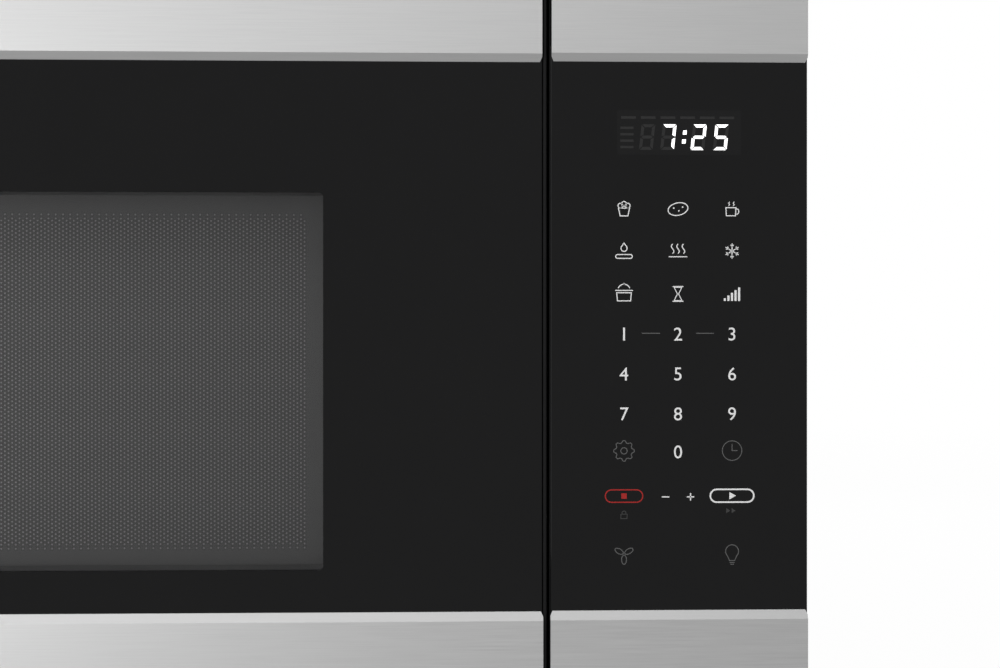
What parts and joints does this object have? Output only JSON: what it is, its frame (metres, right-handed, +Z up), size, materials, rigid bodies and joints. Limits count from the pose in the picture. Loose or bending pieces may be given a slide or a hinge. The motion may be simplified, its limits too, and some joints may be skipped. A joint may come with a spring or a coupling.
{
  "type": "over-the-range microwave oven",
  "caption": "Over-the-range microwave oven with a side-hinged glass door, touch panel, turntable, top exhaust blower and underside grease filters.",
  "frame": {"origin": "on the wall, at the middle of the unit's lower edge", "axes": "+X along the front to the right, +Y into the wall, +Z up; the front faces -Y"},
  "size_m": [0.758, 0.3905, 0.442],
  "materials": {
    "brushed_band": "brushed along the band, satin",
    "black_glass": "polished black with a tinted window",
    "clear_glass": "polished",
    "lens": "frosted",
    "black_moulding": "fine satin texture",
    "grille_moulding": "satin charcoal",
    "case_paint": "fine textured black paint",
    "galvanised": "zinc coated steel, matt",
    "oven_enamel": "semi-gloss grey enamel",
    "screen_steel": "semi-gloss black enamel, perforated",
    "plain_steel": "plain zinc plated",
    "flap_aluminium": "plain sheet",
    "filter_mesh": "expanded mesh in a folded frame",
    "white_plastic": "plain moulded",
    "roller_plastic": "plain moulded",
    "black_plastic": "plain moulded",
    "circuit_board": "green laminate",
    "mica": "mica sheet",
    "motor_steel": "plain",
    "core_steel": "varnished laminations",
    "copper_winding": "varnished wire",
    "lamp_box": "white reflector"
  },
  "bodies": {
    "root": {"wall_plate": "galvanised", "rear_panel": "galvanised", "outer_case": "case_paint", "base_plate": "galvanised", "case_screws": "plain_steel", "cord_grommet": "black_plastic", "oven_cavity": "oven_enamel", "front_plate": "oven_enamel", "waveguide": "galvanised", "waveguide_cover": "mica", "cavity_lamp": "lens", "turntable_motor": "motor_steel", "hinge_brackets": "plain_steel", "hinge_pins": "plain_steel", "latch_board": "white_plastic", "interlock_switches": "black_plastic", "panel_housing": "black_moulding", "panel_bands": "brushed_band", "panel_glass": "black_glass", "display_module": "black_plastic", "control_board": "circuit_board", "vent_grille": "grille_moulding", "charcoal_filter": "black_plastic", "cooktop_lamp_lenses": "lens", "cooktop_lamps": "lamp_box", "blower_housing": "galvanised", "blower_motor": "motor_steel", "exhaust_adaptor": "galvanised", "magnetron": "flap_aluminium", "transformer_core": "core_steel", "transformer_windings": "copper_winding", "hv_capacitor": "motor_steel", "hv_diode": "black_plastic", "fan_shroud": "galvanised", "fan_motor": "motor_steel"},
    "door": {"door_frame": "black_moulding", "door_top_band": "brushed_band", "door_bottom_band": "brushed_band", "door_glass": "black_glass", "choke_panel": "oven_enamel", "choke_cover": "black_moulding", "window_screen": "screen_steel", "inner_window": "clear_glass", "hinge_bushes": "white_plastic", "latch_spring": "plain_steel"},
    "latch": {"latch_key": "white_plastic"},
    "turntable": {"turntable_coupler": "white_plastic"},
    "tray": {"glass_tray": "clear_glass"},
    "ring": {"roller_ring": "white_plastic"},
    "roller_a": {"roller_1": "roller_plastic"},
    "roller_b": {"roller_2": "roller_plastic"},
    "roller_c": {"roller_3": "roller_plastic"},
    "blower": {"blower_wheels": "black_plastic", "blower_shaft": "plain_steel"},
    "fan": {"fan_blades": "black_plastic"},
    "damper": {"damper_flap": "flap_aluminium"},
    "left_filter": {"left_grease_filter": "filter_mesh"},
    "right_filter": {"right_grease_filter": "filter_mesh"},
    "lower_plunger": {"lower_switch_plunger": "white_plastic"},
    "upper_plunger": {"upper_switch_plunger": "white_plastic"}
  },
  "joints": [
    {"name": "door_hinge", "type": "hinge", "parent": "root", "child": "door", "pos_m": [-0.369, -0.368, 0.189], "axis": [0, 0, -1], "range_deg": [0, 110]},
    {"name": "latch_lift", "type": "slide", "parent": "door", "child": "latch", "axis": [0, 0, 1], "range_m": [0, 0.005], "stiffness_N_per_m": 400, "springref_m": -0.004, "deforming": ["latch_spring"]},
    {"name": "turntable_spin", "type": "hinge", "parent": "root", "child": "turntable", "pos_m": [-0.065, -0.1825, 0.05], "axis": [0, 0, 1], "continuous": true},
    {"name": "tray_lift", "type": "slide", "parent": "turntable", "child": "tray", "axis": [0, 0, 1], "range_m": [0, 0.025]},
    {"name": "ring_spin", "type": "hinge", "parent": "root", "child": "ring", "pos_m": [-0.065, -0.1825, 0.0583], "axis": [0, 0, 1], "continuous": true},
    {"name": "blower_spin", "type": "hinge", "parent": "root", "child": "blower", "pos_m": [0, -0.11, 0.358], "axis": [1, 0, 0], "continuous": true},
    {"name": "fan_spin", "type": "hinge", "parent": "root", "child": "fan", "pos_m": [0.29, -0.058, 0.2], "axis": [0, 1, 0], "continuous": true},
    {"name": "damper_swing", "type": "hinge", "parent": "root", "child": "damper", "pos_m": [0, -0.0235, 0.4245], "axis": [-1, 0, 0], "range_deg": [0, 75]},
    {"name": "left_filter_slide", "type": "slide", "parent": "root", "child": "left_filter", "axis": [1, 0, 0], "range_m": [0, 0.008]},
    {"name": "right_filter_slide", "type": "slide", "parent": "root", "child": "right_filter", "axis": [1, 0, 0], "range_m": [0, 0.008]},
    {"name": "lower_switch_press", "type": "slide", "parent": "root", "child": "lower_plunger", "axis": [0, 1, 0], "range_m": [0, 0.0015], "stiffness_N_per_m": 300, "springref_m": -0.001},
    {"name": "upper_switch_press", "type": "slide", "parent": "root", "child": "upper_plunger", "axis": [0, 1, 0], "range_m": [0, 0.0015], "stiffness_N_per_m": 300, "springref_m": -0.001},
    {"name": "roller_1_spin", "type": "hinge", "parent": "ring", "child": "roller_a", "pos_m": [-0.065, -0.0815, 0.0583], "axis": [0, 1, 0], "continuous": true},
    {"name": "roller_2_spin", "type": "hinge", "parent": "ring", "child": "roller_b", "pos_m": [-0.15247, -0.233, 0.0583], "axis": [-0.866, -0.5, 0], "continuous": true},
    {"name": "roller_3_spin", "type": "hinge", "parent": "ring", "child": "roller_c", "pos_m": [0.02247, -0.233, 0.0583], "axis": [0.866, -0.5, 0], "continuous": true}
  ],
  "couplings": [
    {"joint": "ring_spin", "follows": "turntable_spin", "ratio": 0.5},
    {"joint": "roller_1_spin", "follows": "turntable_spin", "ratio": -6.3125},
    {"joint": "roller_2_spin", "follows": "turntable_spin", "ratio": -6.3125},
    {"joint": "roller_3_spin", "follows": "turntable_spin", "ratio": -6.3125}
  ]
}
